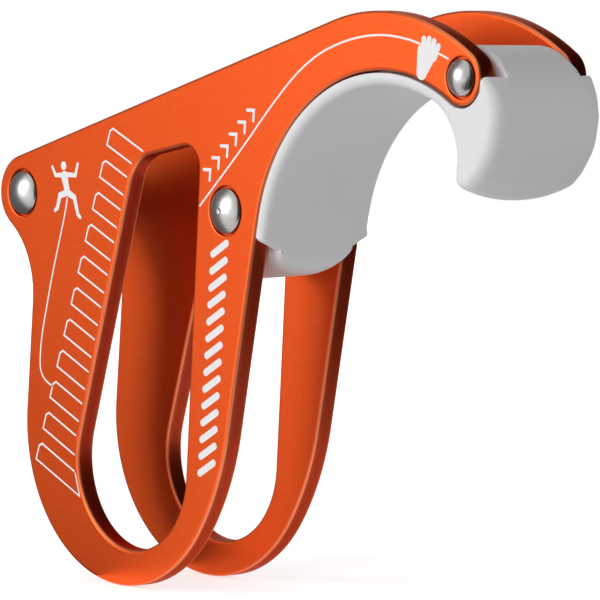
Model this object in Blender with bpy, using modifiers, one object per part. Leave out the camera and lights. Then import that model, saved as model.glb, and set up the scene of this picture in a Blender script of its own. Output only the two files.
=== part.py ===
"""Belay device: two windowed side plates, a moulded rope grip, three rivets and their spacer sleeves.

The plates lie parallel to the XZ plane. +X points along the arm to the hook, +Y from the front plate to the
rear plate, and +Z up. Every outline is a chain of discs joined by tangent lines and read clockwise. It is
drawn about the centre of the thumb arc and then centred on the device.
"""

import math

import bmesh
import bpy

MM = 0.001

# Side plates
PLATE_THICKNESS = 3.0
ROPE_GAP = 14.0
PLATE_ROUNDING = 0.5
HOOK_ARC_RADIUS = 26.7
HOOK_TIP_RADIUS = 3.8
HOOK_END_ANGLE = 58.1
TOP_ARC_RADIUS = 34.2
TOP_ARC_LEAN = 56.2
LOBE_RADIUS = 5.7
NECK_RADIUS = 12.6
NECK_LEAN = 235.4
FOOT_WALL = 10.0
FOOT_SHIFT = (-2.8, 4.5)
LEG_RADIUS = 38.0
LEG_LEAN = 143.2

# Rivet centres
GRIP_RIVET_ANGLE = 169.0
GRIP_RIVET_EDGE = 7.0
RIVET_SPACING = 47.9
RIVET_RISE = 1.1

# Carabiner windows, placed from the grip rivet
WINDOW_CORNER_SHIFT = (-9.2, 5.9)
WINDOW_CORNER_RADIUS = 3.2
WINDOW_TOP_SHIFT = (-16.4, 2.0)
WINDOW_TOP_RADIUS = 5.7
WINDOW_END_SHIFT = (-21.8, -37.8)
WINDOW_END_RADIUS = 12.7

# Rivets and sleeves
RIVET_SHANK = 5.0
RIVET_HEAD = 6.5
HOOK_SHANK = 3.4
HOOK_HEAD = 5.1
HEAD_HEIGHT = 1.5
HEAD_RIM = 0.35
HEAD_RECESS = 0.6
RECESS_CHAMFER = 0.2
DIMPLE_RADIUS = 0.5
DIMPLE_DEPTH = 0.2
ROPE_SLEEVE_WALL = 1.2
GRIP_SLEEVE_WALL = 0.7
HOOK_SLEEVE_WALL = 0.5
SLEEVE_CHAMFER = 0.25

# Rope grip
CHANNEL_DEPTH = 4.7
CHANNEL_BEND_X = -4.4
CHANNEL_BEND_RADIUS = 20.0
BRAKE_EDGE_SHIFT = (-1.7, 0.35)
BRAKE_EDGE_RADIUS = 3.6
HEEL_SHIFT = (-3.6, -8.55)
HEEL_RADIUS = 1.6
TOE_RADIUS = 3.1
TOE_ANGLE = 179.5
FLANGE_WALL = 1.7
FLANGE_END_ANGLE = 176.0
LEDGE_RADIUS = 1.1
NOSE_RADIUS = 9.0
NOSE_REACH = 7.2
NOSE_DROP = 14.5
NOSE_TIP_RADIUS = 1.6
HOLLOW_RADIUS = 8.7
HOLLOW_ANGLE = 68.0
NOSE_CROWN = 3.0
NOSE_CROWN_WIDTH = 6.5
NOSE_CROWN_HEIGHT = 10.0

# Rim radii of the grip
CORE_RIM = 0.9
THUMB_RIM = 1.3
HOLLOW_RIM = 1.5
NOSE_TIP_RIM = 1.5
NOSE_RIM = 2.6
LEDGE_RIM = 0.6
PARTING_RIM = 0.15
FLANGE_END_RIM = 0.75
RIM_TAPER = 0.35
RIM_RUNOUT = 1.2

FIT = 0.3
ROUND_STEPS = 24
RIM_STEPS = 3
COLLECTION = "belay_device"
CUTTERS = "belay_device_cutters"

INNER_FACE = ROPE_GAP / 2
OUTER_FACE = INNER_FACE + PLATE_THICKNESS
CORE_FACE = INNER_FACE - FIT


def polar(centre, radius, degrees):
    """The point at a radius and an angle from a centre."""
    turn = math.radians(degrees)
    return (centre[0] + radius * math.cos(turn), centre[1] + radius * math.sin(turn))


def shifted(point, shift):
    """A point moved by a shift."""
    return (point[0] + shift[0], point[1] + shift[1])


def angle_to(centre, point):
    """The angle of a point seen from a centre."""
    return math.degrees(math.atan2(point[1] - centre[1], point[0] - centre[0]))


def touching(first, first_reach, second, second_reach):
    """The point at the given distances from two others, on the left of the line between them."""
    span = math.dist(first, second)
    along = (first_reach ** 2 - second_reach ** 2 + span ** 2) / (2 * span)
    across = math.sqrt(first_reach ** 2 - along ** 2)
    return polar(polar(first, along, angle_to(first, second)), across, angle_to(first, second) + 90.0)


# Centres that follow from the sizes
HOOK_CENTRE = (0.0, 0.0)
HOOK_RIVET = polar(HOOK_CENTRE, HOOK_ARC_RADIUS + HOOK_TIP_RADIUS, HOOK_END_ANGLE)
TOP_CENTRE = polar(HOOK_RIVET, HOOK_TIP_RADIUS - TOP_ARC_RADIUS, TOP_ARC_LEAN)
GRIP_RIVET = polar(HOOK_CENTRE, HOOK_ARC_RADIUS + GRIP_RIVET_EDGE, GRIP_RIVET_ANGLE)
ROPE_RIVET = shifted(GRIP_RIVET, (-RIVET_SPACING, RIVET_RISE))
NECK_CENTRE = polar(ROPE_RIVET, LOBE_RADIUS + NECK_RADIUS, NECK_LEAN)
WINDOW_END = shifted(GRIP_RIVET, WINDOW_END_SHIFT)
FOOT_CENTRE = shifted(WINDOW_END, FOOT_SHIFT)
FOOT_RADIUS = WINDOW_END_RADIUS + FOOT_WALL
LEG_CENTRE = polar(FOOT_CENTRE, LEG_RADIUS - FOOT_RADIUS, LEG_LEAN)
FLOOR_Z = TOP_CENTRE[1] + TOP_ARC_RADIUS - CHANNEL_DEPTH
POCKET_RADIUS = HOOK_ARC_RADIUS - FIT
THUMB_RADIUS = POCKET_RADIUS - FLANGE_WALL
FLANGE_MIDDLE = (POCKET_RADIUS + THUMB_RADIUS) / 2
NOSE_CENTRE = (HOOK_RIVET[0] + NOSE_REACH - NOSE_RADIUS, FLOOR_Z - NOSE_RADIUS)
HOLLOW_CENTRE = polar(HOOK_CENTRE, THUMB_RADIUS - HOLLOW_RADIUS, HOLLOW_ANGLE)
NOSE_TIP = (HOLLOW_CENTRE[0] + HOLLOW_RADIUS + NOSE_TIP_RADIUS, HOOK_RIVET[1] - NOSE_DROP)
LEDGE_CENTRE = touching(HOOK_RIVET, HOOK_TIP_RADIUS + FIT + LEDGE_RADIUS, NOSE_CENTRE, NOSE_RADIUS - LEDGE_RADIUS)
LEDGE_ANGLE = angle_to(NOSE_CENTRE, LEDGE_CENTRE)
DEVICE_CENTRE = (
    (ROPE_RIVET[0] - LOBE_RADIUS + NOSE_CENTRE[0] + NOSE_RADIUS) / 2,
    (FOOT_CENTRE[1] - FOOT_RADIUS + TOP_CENTRE[1] + TOP_ARC_RADIUS) / 2,
)


def disc(centre, radius, side=1, rim=0.0):
    """One disc of a chain: side 1 for a convex stretch of the outline and -1 for a concave one, with its rim."""
    return (centre[0], centre[1], radius, side, rim)


def arc_step(radius):
    """The angle between the points of an arc, in degrees."""
    if radius > 30.0:
        return 3.0
    if radius > 15.0:
        return 4.0
    if radius > 7.0:
        return 6.0
    return 9.0 if radius > 3.5 else 13.0


def heading_at(one, angle):
    """The direction in which a clockwise outline passes a disc at an angle from its centre."""
    return angle - 90.0 * one[3]


def tangent_heading(first, second, grow):
    """The direction of the tangent line from one disc of a chain to the next."""
    span = math.dist(first[:2], second[:2])
    lean = ((second[3] * second[2] + grow) - (first[3] * first[2] + grow)) / span
    return angle_to(first[:2], second[:2]) + math.degrees(math.asin(max(-1.0, min(1.0, lean))))


def arc_points(one, start, end, grow):
    """Points of one disc between two headings, as (x, z, outward x, outward z, rim)."""
    x, z, radius, side, rim = one
    turn = side * 10.0 - side * ((side * (start - end) + 10.0) % 360.0)
    count = max(1, math.ceil(abs(turn) / arc_step(radius)))
    reach = side * radius + grow
    points = []
    for number in range(count + 1):
        heading = math.radians(start + turn * number / count)
        out = (-math.sin(heading), math.cos(heading))
        points.append((x + reach * out[0], z + reach * out[1], out[0], out[1], rim))
    return points


def tidy(points):
    """The points without those that lie on the one before."""
    kept = [points[0]]
    for point in points[1:]:
        if math.dist(point[:2], kept[-1][:2]) > 0.03:
            kept.append(point)
    return kept


def outline(discs, grow=0.0):
    """Points round a closed chain of discs, moved outwards by grow."""
    points = []
    for index, one in enumerate(discs):
        start = tangent_heading(discs[index - 1], one, grow)
        end = tangent_heading(one, discs[(index + 1) % len(discs)], grow)
        points += arc_points(one, start, end, grow)
    points = tidy(points)
    if math.dist(points[0][:2], points[-1][:2]) <= 0.03:
        points.pop()
    return points


def open_outline(discs, start_angle, end_angle):
    """Points along an open chain, from an angle on its first disc to an angle on its last one."""
    points = []
    last = len(discs) - 1
    for index, one in enumerate(discs):
        start = tangent_heading(discs[index - 1], one, 0.0) if index else heading_at(one, start_angle)
        end = tangent_heading(one, discs[index + 1], 0.0) if index < last else heading_at(one, end_angle)
        points += arc_points(one, start, end, 0.0)
    return tidy(points)


def placed(point):
    """A drawing point in metres, from the centre of the device."""
    return ((point[0] - DEVICE_CENTRE[0]) * MM, (point[1] - DEVICE_CENTRE[1]) * MM)


def plate_chain():
    """The outline of a side plate: lobe, top edge, hook tip, hook arc, leg, foot and neck."""
    return [
        disc(ROPE_RIVET, LOBE_RADIUS),
        disc(TOP_CENTRE, TOP_ARC_RADIUS),
        disc(HOOK_RIVET, HOOK_TIP_RADIUS),
        disc(HOOK_CENTRE, HOOK_ARC_RADIUS, -1),
        disc(LEG_CENTRE, LEG_RADIUS),
        disc(FOOT_CENTRE, FOOT_RADIUS),
        disc(NECK_CENTRE, NECK_RADIUS, -1),
    ]


def window_chain():
    """The carabiner window: sloping top, straight sides and round end."""
    return [
        disc(shifted(GRIP_RIVET, WINDOW_TOP_SHIFT), WINDOW_TOP_RADIUS),
        disc(shifted(GRIP_RIVET, WINDOW_CORNER_SHIFT), WINDOW_CORNER_RADIUS),
        disc(WINDOW_END, WINDOW_END_RADIUS),
    ]


def thumb_side():
    """The grip's full-width surface, from the ledge round the nose and along the thumb arc to the flange end."""
    discs = [
        disc(NOSE_CENTRE, NOSE_RADIUS, 1, NOSE_RIM),
        disc(NOSE_TIP, NOSE_TIP_RADIUS, 1, NOSE_TIP_RIM),
        disc(HOLLOW_CENTRE, HOLLOW_RADIUS, -1, HOLLOW_RIM),
        disc(HOOK_CENTRE, THUMB_RADIUS, -1, THUMB_RIM),
    ]
    return open_outline(discs, LEDGE_ANGLE, FLANGE_END_ANGLE)


def flange_side():
    """The edge of the grip's flange beside the plate, from the flange end to the ledge."""
    end = polar(HOOK_CENTRE, FLANGE_MIDDLE, FLANGE_END_ANGLE)
    discs = [
        disc(end, FLANGE_WALL / 2, 1, FLANGE_END_RIM),
        disc(HOOK_CENTRE, POCKET_RADIUS, 1, PARTING_RIM),
        disc(HOOK_RIVET, HOOK_TIP_RADIUS + FIT, -1, PARTING_RIM),
        disc(LEDGE_CENTRE, LEDGE_RADIUS, 1, LEDGE_RIM),
    ]
    return open_outline(discs, FLANGE_END_ANGLE + 180.0, LEDGE_ANGLE)


def rope_side():
    """The edge of the grip's core between the plates: toe, heel, brake edge, channel floor and nose top."""
    discs = [
        disc(HOOK_CENTRE, THUMB_RADIUS, -1, CORE_RIM),
        disc(polar(HOOK_CENTRE, THUMB_RADIUS + TOE_RADIUS, TOE_ANGLE), TOE_RADIUS, 1, CORE_RIM),
        disc(shifted(GRIP_RIVET, HEEL_SHIFT), HEEL_RADIUS, 1, CORE_RIM),
        disc(shifted(GRIP_RIVET, BRAKE_EDGE_SHIFT), BRAKE_EDGE_RADIUS, 1, CORE_RIM),
        disc((CHANNEL_BEND_X, FLOOR_Z - CHANNEL_BEND_RADIUS), CHANNEL_BEND_RADIUS, 1, CORE_RIM),
        disc(NOSE_CENTRE, NOSE_RADIUS, 1, CORE_RIM),
    ]
    return open_outline(discs, FLANGE_END_ANGLE, LEDGE_ANGLE)


def tapered(points):
    """The points of a closed outline with rim radii that grow no faster than RIM_TAPER along it."""
    rims = [point[4] for point in points]
    count = len(points)
    for way in (1, -1):
        for lap in range(2 * count):
            here = (lap * way) % count
            before = (here - way) % count
            run = math.dist(points[here][:2], points[before][:2])
            rims[here] = min(rims[here], rims[before] + run * RIM_TAPER)
    return [(*point[:4], max(0.0, rim)) for point, rim in zip(points, rims)]


def clear_scene():
    """Remove whatever the scene holds."""
    for old in list(bpy.data.objects):
        bpy.data.objects.remove(old, do_unlink=True)


def make_collection(name):
    """A new collection in the scene."""
    group = bpy.data.collections.new(name)
    bpy.context.scene.collection.children.link(group)
    return group


def make_material(name, colour, roughness, metallic):
    """A plain material with the colour seen in the photograph."""
    material = bpy.data.materials.new(name)
    material.use_nodes = True
    shader = material.node_tree.nodes["Principled BSDF"]
    shader.inputs["Base Color"].default_value = (*colour, 1.0)
    shader.inputs["Roughness"].default_value = roughness
    shader.inputs["Metallic"].default_value = metallic
    material.diffuse_color = (*colour, 1.0)
    return material


def link_object(name, data, group):
    """A new object for a mesh or a curve, in a collection."""
    thing = bpy.data.objects.new(name, data)
    group.objects.link(thing)
    return thing


def weld(mesh):
    """Join vertices that lie on each other and point the faces outwards."""
    work = bmesh.new()
    work.from_mesh(mesh)
    bmesh.ops.remove_doubles(work, verts=work.verts, dist=0.002 * MM)
    bmesh.ops.dissolve_degenerate(work, edges=work.edges, dist=0.001 * MM)
    bmesh.ops.recalc_face_normals(work, faces=work.faces)
    work.to_mesh(mesh)
    work.free()


def evaluated_mesh(thing):
    """The mesh of an object or a curve with its modifiers applied."""
    bpy.context.view_layer.update()
    return bpy.data.meshes.new_from_object(thing.evaluated_get(bpy.context.evaluated_depsgraph_get()))


def smooth(thing, degrees=35.0):
    """Shade the round stretches smooth and keep the edges sharp."""
    thing.data.shade_smooth()
    thing.data.set_sharp_from_angle(angle=math.radians(degrees))


def dress(thing, material):
    """Give an object one material."""
    thing.data.materials.clear()
    thing.data.materials.append(material)
    smooth(thing)


def plate_mesh(name):
    """The plate's outline and window, extruded, with rounded rims."""
    curve = bpy.data.curves.new(name, "CURVE")
    curve.dimensions = "2D"
    curve.fill_mode = "BOTH"
    curve.extrude = (PLATE_THICKNESS / 2 - PLATE_ROUNDING) * MM
    curve.bevel_depth = PLATE_ROUNDING * MM
    curve.bevel_resolution = 1
    curve.offset = -PLATE_ROUNDING * MM
    for points in (outline(plate_chain())[::-1], outline(window_chain())):
        spline = curve.splines.new("POLY")
        spline.points.add(len(points) - 1)
        for spot, point in zip(spline.points, points):
            spot.co = (*placed(point), 0.0, 1.0)
        spline.use_cyclic_u = True
    flat = link_object(name, curve, bpy.context.scene.collection)
    flat.rotation_euler = (math.pi / 2, 0.0, 0.0)
    mesh = evaluated_mesh(flat)
    mesh.transform(flat.matrix_world)
    bpy.data.objects.remove(flat, do_unlink=True)
    weld(mesh)
    return mesh


def turned_mesh(name, profile):
    """A round mesh about the Y axis from (radius, y) points that run from the rear to the front."""
    mesh = bpy.data.meshes.new(name)
    points = [(radius * MM, 0.0, -y * MM) for radius, y in profile]
    mesh.from_pydata(points, [(spot, spot + 1) for spot in range(len(points) - 1)], [])
    lathe = link_object(name, mesh, bpy.context.scene.collection)
    screw = lathe.modifiers.new("Turn", "SCREW")
    screw.steps = ROUND_STEPS
    screw.render_steps = ROUND_STEPS
    screw.use_merge_vertices = True
    screw.merge_threshold = 0.00001
    lathe.rotation_euler = (math.pi / 2, 0.0, 0.0)
    turned = evaluated_mesh(lathe)
    turned.transform(lathe.matrix_world)
    bpy.data.objects.remove(lathe, do_unlink=True)
    weld(turned)
    return turned


def place(thing, centre):
    """Put a piece that is turned about the Y axis at its centre in the XZ plane."""
    x, z = placed(centre)
    thing.location = (x, 0.0, z)


def bore(thing, name, profile, centre, cutters):
    """Cut a turned profile out of an object and keep the cutter hidden in its collection."""
    cutter = link_object(name, turned_mesh(name, profile), cutters)
    cutter.hide_render = True
    cutter.display_type = "WIRE"
    place(cutter, centre)
    boolean = thing.modifiers.new(name, "BOOLEAN")
    boolean.operation = "DIFFERENCE"
    boolean.solver = "EXACT"
    boolean.object = cutter
    thing.data = evaluated_mesh(thing)
    thing.modifiers.clear()


def rivet_sizes():
    """Name, centre, shank, head and sleeve wall of each rivet."""
    return [
        ("rope_side", ROPE_RIVET, RIVET_SHANK, RIVET_HEAD, ROPE_SLEEVE_WALL),
        ("grip", GRIP_RIVET, RIVET_SHANK, RIVET_HEAD, GRIP_SLEEVE_WALL),
        ("hook", HOOK_RIVET, HOOK_SHANK, HOOK_HEAD, HOOK_SLEEVE_WALL),
    ]


def side_plate(name, side, material, parts, cutters):
    """One side plate, with side -1 at the front and 1 at the rear, bored and recessed for the rivets."""
    plate = link_object(name, plate_mesh(name), parts)
    plate.location.y = side * (INNER_FACE + OUTER_FACE) / 2 * MM
    for rivet_name, centre, shank, head, _ in rivet_sizes():
        hole = shank / 2 + FIT
        rim = head / 2 + FIT
        profile = [
            (0.0, OUTER_FACE + RECESS_CHAMFER),
            (rim + RECESS_CHAMFER * 2, OUTER_FACE + RECESS_CHAMFER),
            (rim, OUTER_FACE - RECESS_CHAMFER),
            (rim, OUTER_FACE - HEAD_RECESS),
            (hole, OUTER_FACE - HEAD_RECESS),
            (hole, INNER_FACE - PLATE_THICKNESS / 2),
            (0.0, INNER_FACE - PLATE_THICKNESS / 2),
        ]
        profile = [(radius, side * y) for radius, y in profile]
        bore(plate, name + "_" + rivet_name + "_bore", profile, centre, cutters)
    dress(plate, material)


def head_profile(shank, head, dimpled):
    """One end of a rivet from the middle of its dome to its shank, as (radius, y) points."""
    base = OUTER_FACE - HEAD_RECESS + FIT
    top = base + HEAD_HEIGHT
    dome = HEAD_HEIGHT - HEAD_RIM
    sphere = ((head / 2) ** 2 + dome ** 2) / (2 * dome)
    edge = math.asin(head / 2 / sphere)
    start = math.asin(DIMPLE_RADIUS / sphere) if dimpled else 0.0
    points = []
    if dimpled:
        points.append((0.0, top - DIMPLE_DEPTH))
        points.append((DIMPLE_RADIUS * 0.6, top - DIMPLE_DEPTH * 0.7))
    count = 6
    for number in range(count + 1):
        angle = start + (edge - start) * number / count
        points.append((sphere * math.sin(angle), top - sphere * (1 - math.cos(angle))))
    points.append((head / 2, base))
    points.append((shank / 2, base))
    return points


def rivet(name, centre, shank, head, dimpled, material, parts):
    """A steel rivet with a shallow dome at both ends."""
    rear = head_profile(shank, head, False)
    front = [(radius, -y) for radius, y in reversed(head_profile(shank, head, dimpled))]
    pin = link_object(name, turned_mesh(name, rear + front), parts)
    place(pin, centre)
    dress(pin, material)


def sleeve(name, centre, shank, wall, material, parts):
    """The spacer tube round a rivet, between the plates."""
    hole = shank / 2 + FIT
    outer = hole + wall
    half = INNER_FACE - FIT
    chamfer = min(SLEEVE_CHAMFER, wall / 2)
    profile = [
        (hole, half),
        (outer - chamfer, half),
        (outer, half - chamfer),
        (outer, chamfer - half),
        (outer - chamfer, -half),
        (hole, -half),
        (hole, half),
    ]
    tube = link_object(name, turned_mesh(name, profile), parts)
    place(tube, centre)
    dress(tube, material)


def crowned(x, y, z):
    """The height of a grip point once the nose's end is crowned from side to side."""
    top = NOSE_TIP[1] - NOSE_TIP_RADIUS + NOSE_CROWN_HEIGHT
    if x < HOLLOW_CENTRE[0] or z > top:
        return z
    side = max(0.0, y - OUTER_FACE + NOSE_CROWN_WIDTH) / NOSE_CROWN_WIDTH
    lift = NOSE_CROWN * (1 - math.sqrt(1 - side ** 2))
    return z + lift * ((top - z) / NOSE_CROWN_HEIGHT) ** 1.5


def grip_ring(work, points, face, turn, side):
    """One ring of grip vertices at a turn of its rim: 0 on the side face, 90 degrees on the full outline."""
    ring = []
    lean = math.radians(turn)
    for x, z, out_x, out_z, rim in points:
        inset = rim * (1 - math.sin(lean))
        y = face - rim * (1 - math.cos(lean))
        px = x - inset * out_x
        pz = crowned(px, y, z - inset * out_z)
        px, pz = placed((px, pz))
        ring.append(work.verts.new((px, side * y * MM, pz)))
    return ring


def join_rings(work, rings):
    """Quads between each ring and the next."""
    for first, second in zip(rings, rings[1:]):
        count = len(first)
        for spot in range(count):
            after = (spot + 1) % count
            work.faces.new((first[spot], first[after], second[after], second[spot]))


def grip_mesh(name):
    """The moulded grip: core and flanges lofted from their two unlike outlines, which share the thumb side."""
    thumb = thumb_side()
    flange = thumb + flange_side()[1:-1]
    core = [(*point[:4], -RIM_TAPER * RIM_RUNOUT) for point in thumb] + rope_side()[1:-1]
    flange = tapered(flange)
    core = tapered(core)
    turns = [90.0 * number / RIM_STEPS for number in range(RIM_STEPS + 1)]
    work = bmesh.new()
    core_rows = {}
    for side in (-1, 1):
        core_rows[side] = [grip_ring(work, core, CORE_FACE, turn, side) for turn in turns]
        flat = [(*point[:4], 0.0) for point in flange]
        middle = (CORE_FACE + OUTER_FACE - max(point[4] for point in flange)) / 2
        rows = [grip_ring(work, flat, face, 0.0, side) for face in (CORE_FACE, middle)]
        rows += [grip_ring(work, flange, OUTER_FACE, turn, side) for turn in reversed(turns)]
        join_rings(work, rows)
        work.faces.new(rows[-1])
        edge = rows[0][len(thumb) - 1:] + [rows[0][0]]
        work.faces.new(edge + core_rows[side][0][len(thumb):][::-1])
    flat = [(*point[:4], 0.0) for point in core]
    centre = [grip_ring(work, flat, CORE_FACE / 2, 0.0, side) for side in (-1, 1)]
    join_rings(work, core_rows[-1] + centre + core_rows[1][::-1])
    mesh = bpy.data.meshes.new(name)
    work.to_mesh(mesh)
    work.free()
    weld(mesh)
    return mesh


def rope_grip(name, material, parts, cutters):
    """The moulded grip, bored for the two sleeves that run through it."""
    grip = link_object(name, grip_mesh(name), parts)
    for rivet_name, centre, shank, _, wall in rivet_sizes()[1:]:
        hole = shank / 2 + FIT + wall + FIT
        profile = [(0.0, OUTER_FACE), (hole, OUTER_FACE), (hole, -OUTER_FACE), (0.0, -OUTER_FACE)]
        bore(grip, name + "_" + rivet_name + "_bore", profile, centre, cutters)
    dress(grip, material)


def build():
    """Make every piece of the device."""
    clear_scene()
    parts = make_collection(COLLECTION)
    cutters = make_collection(CUTTERS)
    orange = make_material("orange_anodised", (0.82, 0.10, 0.017), 0.36, 0.75)
    grey = make_material("grey_moulding", (0.55, 0.55, 0.56), 0.55, 0.0)
    steel = make_material("rivet_steel", (0.62, 0.61, 0.60), 0.22, 1.0)
    bare = make_material("sleeve_steel", (0.50, 0.50, 0.50), 0.35, 1.0)
    side_plate("front_side_plate", -1, orange, parts, cutters)
    side_plate("rear_side_plate", 1, orange, parts, cutters)
    rope_grip("rope_grip", grey, parts, cutters)
    for name, centre, shank, head, wall in rivet_sizes():
        rivet(name + "_rivet", centre, shank, head, name == "grip", steel, parts)
        sleeve(name + "_sleeve", centre, shank, wall, bare, parts)


build()
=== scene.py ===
"""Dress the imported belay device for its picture.

Each solid of the frame gets a finely made skin with its own finish: anodised side plates, a moulded grip, domed
rivets and turned spacers. White line marks lie on the plates, and a plain studio stands round the device. The
outlines are chains of discs joined by tangent lines, read clockwise, in millimetres from the device's centre.
"""

import math

import bmesh
import bpy
from bpy.props import FloatProperty, FloatVectorProperty, PointerProperty
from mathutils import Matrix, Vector
from mathutils.geometry import intersect_line_line_2d


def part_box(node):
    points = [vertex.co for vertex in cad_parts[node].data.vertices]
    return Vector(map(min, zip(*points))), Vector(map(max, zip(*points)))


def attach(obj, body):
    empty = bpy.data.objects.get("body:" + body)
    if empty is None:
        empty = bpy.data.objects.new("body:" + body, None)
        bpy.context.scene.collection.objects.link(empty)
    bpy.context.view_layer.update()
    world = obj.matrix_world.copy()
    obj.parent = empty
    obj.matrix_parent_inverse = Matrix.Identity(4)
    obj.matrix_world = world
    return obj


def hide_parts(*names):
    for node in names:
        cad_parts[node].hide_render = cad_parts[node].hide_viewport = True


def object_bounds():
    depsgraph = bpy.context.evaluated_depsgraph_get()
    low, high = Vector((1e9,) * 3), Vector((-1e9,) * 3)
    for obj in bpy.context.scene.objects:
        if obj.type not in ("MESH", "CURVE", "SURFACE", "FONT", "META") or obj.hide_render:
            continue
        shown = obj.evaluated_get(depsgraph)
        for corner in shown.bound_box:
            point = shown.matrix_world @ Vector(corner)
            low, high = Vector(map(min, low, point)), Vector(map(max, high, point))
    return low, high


bl_info = {
    "name": "Belay Device Dresser",
    "version": (1, 0, 0),
    "blender": (4, 5, 0),
    "location": "View3D > Sidebar > Belay Device",
    "description": "Fine skins, finishes, marks and studio for a belay device with two side plates",
    "category": "Object",
}

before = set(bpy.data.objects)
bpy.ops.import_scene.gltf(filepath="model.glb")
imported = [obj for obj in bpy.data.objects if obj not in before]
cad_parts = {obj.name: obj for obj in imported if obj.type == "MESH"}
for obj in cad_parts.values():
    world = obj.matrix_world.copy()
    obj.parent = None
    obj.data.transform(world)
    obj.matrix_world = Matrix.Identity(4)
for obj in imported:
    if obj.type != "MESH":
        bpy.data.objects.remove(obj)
SOLID_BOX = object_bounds()

MM = 0.001
BODY = "root"
COLLECTION = "belay_device_dressed"

# Half widths across the device, from the solids
OUTER_FACE = -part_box("front_side_plate")[0].y / MM
INNER_FACE = -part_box("front_side_plate")[1].y / MM
GRIP_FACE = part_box("rope_grip")[1].y / MM
DOME_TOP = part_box("grip_rivet")[1].y / MM
SPACER_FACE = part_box("grip_sleeve")[1].y / MM

# Outline discs: x, z, radius and 1 for a convex stretch or -1 for a concave one
PLATE_DISCS = (
    (-49.299, 14.899, 5.7, 1),
    (30.888, 8.001, 34.2, 1),
    (47.799, 33.263, 3.8, 1),
    (31.682, 7.369, 26.7, -1),
    (-38.250, -10.336, 38.0, 1),
    (-25.999, -19.501, 22.7, 1),
    (-59.691, -0.164, 12.6, -1),
)
WINDOW_DISCS = (
    (-17.799, 15.799, 5.7, 1),
    (-10.599, 19.699, 3.2, 1),
    (-23.199, -24.001, 12.7, 1),
)

# The grip's discs say the rim radius too
THUMB_DISCS = (
    (45.999, 28.501, 9.0, 1, 2.1),
    (45.7, 26.7, 8.95, 1, 2.1),
    (46.9, 22.6, 5.75, 1, 1.9),
    (48.3, 18.8, 2.1, 1, 1.4),
    (37.675, 22.204, 8.7, -1, 1.5),
    (31.682, 7.369, 24.7, -1, 1.3),
)
FLANGE_DISCS = (
    (6.194, 9.151, 0.85, 1, 0.75),
    (31.682, 7.369, 26.4, 1, 0.15),
    (47.799, 33.263, 4.1, -1, 0.15),
    (52.913, 32.322, 1.1, 1, 0.6),
)
CORE_DISCS = (
    (31.682, 7.369, 24.7, -1, 0.9),
    (3.883, 7.612, 3.1, 1, 0.9),
    (-4.999, 5.249, 1.6, 1, 0.9),
    (-3.099, 14.149, 3.6, 1, 0.9),
    (27.282, 17.501, 20.0, 1, 0.9),
    (45.999, 28.501, 9.0, 1, 0.9),
)
LEDGE_ANGLE = 28.929
FLANGE_END_ANGLE = 176.0
RIM_TAPER = 0.35
RIM_RUNOUT = 1.2
FACE_MARGIN = 0.06

# How finely outlines are drawn, with turns in degrees
CHORD = 0.4
SAME_POINT = 0.02
WIDEST_TURN = 8.0
HEADING_SLACK = 10.0
LONGEST_STEP = 1.5
PLATE_RIM_STEPS = 7
GRIP_RIM_STEPS = 12
CORE_STEPS = 6
CIRCLE_STEPS = 96
DOT_STEPS = 40

# Edges that bend more than this, in degrees, stay sharp in shading
SHARP_ANGLE = 38.0

# The nose's crown from side to side
CROWN_FROM_X = 37.675
CROWN_TOP_Z = 27.163
CROWN_HEIGHT = 10.0
CROWN_LIFT = 1.75
CROWN_SIDE_POWER = 2.2
CROWN_HEIGHT_POWER = 2.5

# How the nose's top corners draw in: x, y and z where it starts, and how far it takes to be full
SHOULDER_FROM = (51.5, 6.0, 28.2)
SHOULDER_REACH = (2.0, 4.0, 4.3)
SHOULDER_DEPTH = 1.25

# The grip's lower end, whose tongue and flanges rise from the middle to the sides
END_BEFORE_X = 12.0
TONGUE_TOP_Z = 8.3
TONGUE_HEIGHT = 4.65
TONGUE_WIDTH = 6.8
TONGUE_LIFT = 4.2
FLANGE_TOP_Z = 12.0
FLANGE_HEIGHT = 3.7
FLANGE_LIFT = 1.6

# Rivets: name, node, spacer node, centre, shank, head and spacer wall
RIVETS = (
    ("at_lobe", "rope_side_rivet", "rope_side_sleeve", (-49.299, 14.899), 5.0, 6.5, 1.2),
    ("at_grip", "grip_rivet", "grip_sleeve", (-1.399, 13.799), 5.0, 6.5, 0.7),
    ("at_hook", "hook_rivet", "hook_sleeve", (47.799, 33.263), 3.4, 5.1, 0.5),
)
CLEARANCE = 0.3
HEAD_HEIGHT = 1.5
HEAD_RECESS = 0.6
HEAD_SHOULDER = 0.35
DOME_MARGIN = 0.12
DOME_STEPS = 18
RECESS_CHAMFER = 0.2
CHAMFER_BEND = 0.3
SPACER_CHAMFER = 0.25
DIMPLE_RADIUS = 0.5
DIMPLE_DEPTH = 0.2
DIMPLE_STEPS = (0.0, 0.35, 0.65, 0.85)

# The turn of a rivet head's edge: inset from the head's radius and height over its shoulder
HEAD_EDGE = ((0.1, 0.04), (0.03, -0.03), (0.0, -0.1))

# How the painted wall shade and rim highlight spread, and the grain and scratches
WALL_POWER = 1.5
RIM_GAIN = 4.0
RIM_POWER = 2.0
FINE_SHARE = 0.35
SCRATCH_SHARPNESS = 60.0

# Lamps: place in metres and size
KEY_LAMP = ((-0.57, -1.28, 0.35), 0.83)
TOP_LAMP = ((-0.15, 0.05, 0.8), 0.7)

# Cards that the metal mirrors: shade, degrees round the device from +X at foot and at top, degrees of height
SIDE_CARD = (0.02, (-78.0, 72.0), (-20.0, 160.0), (-30.0, 78.0))
LEFT_CARD = (0.28, (-218.0, -134.0), (-218.0, -134.0), (-50.0, 60.0))
CARD_RADIUS = 1.1
CARD_STEPS = 24
FLOOR_RADIUS = 1.2
FLOOR_GAP = 0.0001
FLOOR_SHADE = 0.88
WHITE = (1.0, 1.0, 1.0, 1.0)

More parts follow.
